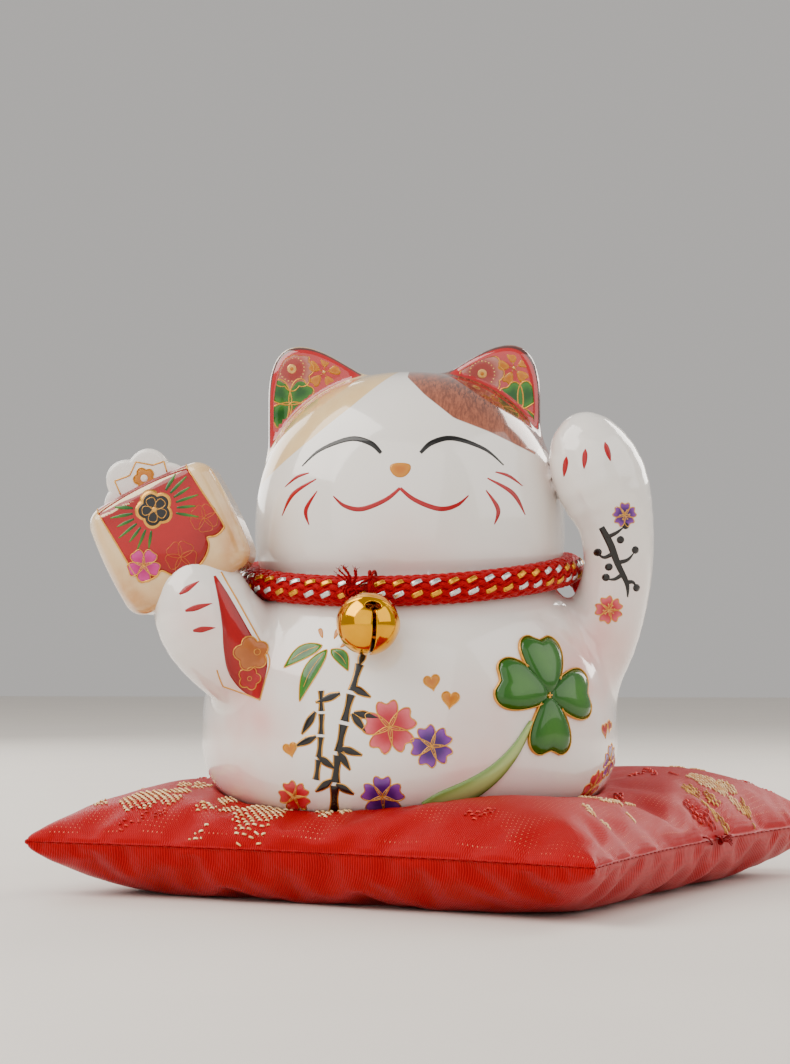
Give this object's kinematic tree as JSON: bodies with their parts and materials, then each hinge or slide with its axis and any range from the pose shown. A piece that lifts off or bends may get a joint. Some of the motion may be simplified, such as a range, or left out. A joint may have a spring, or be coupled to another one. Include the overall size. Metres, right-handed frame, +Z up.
{
  "type": "ceramic cat figurine",
  "caption": "Round glazed ceramic cat with a raised paw, a lucky mallet, a rope collar with a jingle bell and a removable stopper, sitting on a square stuffed cushion.",
  "frame": {"origin": "middle of the cushion's underside, on the surface it stands on", "axes": "+Z up, the cat faces -Y, its raised arm is on the +X side"},
  "size_m": [0.1914, 0.1914, 0.1295],
  "materials": {
    "white_glaze": "glossy",
    "cream_glaze": "glossy",
    "green_glaze": "glossy",
    "pale_green_glaze": "glossy",
    "stopper_rubber": "matte",
    "red_braid": "braided",
    "red_thread": "matte",
    "dark_red_thread": "matte",
    "gold_plate": "polished",
    "pellet_steel": "satin",
    "filling": "matte",
    "red_brocade": "satin",
    "red_satin": "satin"
  },
  "bodies": {
    "cushion": {"cushion_filling": "filling", "cushion_top_cover": "red_brocade", "cushion_bottom_cover": "red_satin", "seam_cord": "dark_red_thread", "closing_stitches": "dark_red_thread"},
    "cat": {"torso_shell": "white_glaze", "head_shell": "white_glaze", "left_ear": "white_glaze", "right_ear": "white_glaze", "raised_arm": "white_glaze", "mallet_arm": "white_glaze", "tail": "white_glaze", "mallet_block": "cream_glaze", "mallet_finial": "white_glaze", "clover_relief": "green_glaze", "clover_stem": "pale_green_glaze", "collar_rope": "red_braid", "collar_back_knot": "red_braid", "collar_rope_ends": "red_braid", "bell_tie_thread": "red_thread", "thread_knot": "red_thread", "thread_ends": "red_thread"},
    "stopper": {"base_stopper": "stopper_rubber"},
    "bell": {"bell_eye": "gold_plate", "bell_upper_shell": "gold_plate", "bell_lower_shell": "gold_plate"},
    "pellet": {"bell_pellet": "pellet_steel"}
  },
  "joints": [
    {"name": "cat_lift", "type": "slide", "parent": "cushion", "child": "cat", "axis": [0, 0, 1], "range_m": [0, 0.06]},
    {"name": "stopper_pull", "type": "slide", "parent": "cat", "child": "stopper", "axis": [0, 0, -1], "range_m": [0, 0.018]},
    {"name": "bell_swing", "type": "hinge", "parent": "cat", "child": "bell", "pos_m": [-0.013, -0.0569, 0.06739], "axis": [-1, 0, 0], "range_deg": [0, 22]},
    {"name": "pellet_rattle", "type": "slide", "parent": "bell", "child": "pellet", "axis": [0, 0, 1], "range_m": [0, 0.003]}
  ],
  "couplings": [
    {"joint": "stopper_pull", "follows": "cat_lift", "ratio": 0.3}
  ]
}
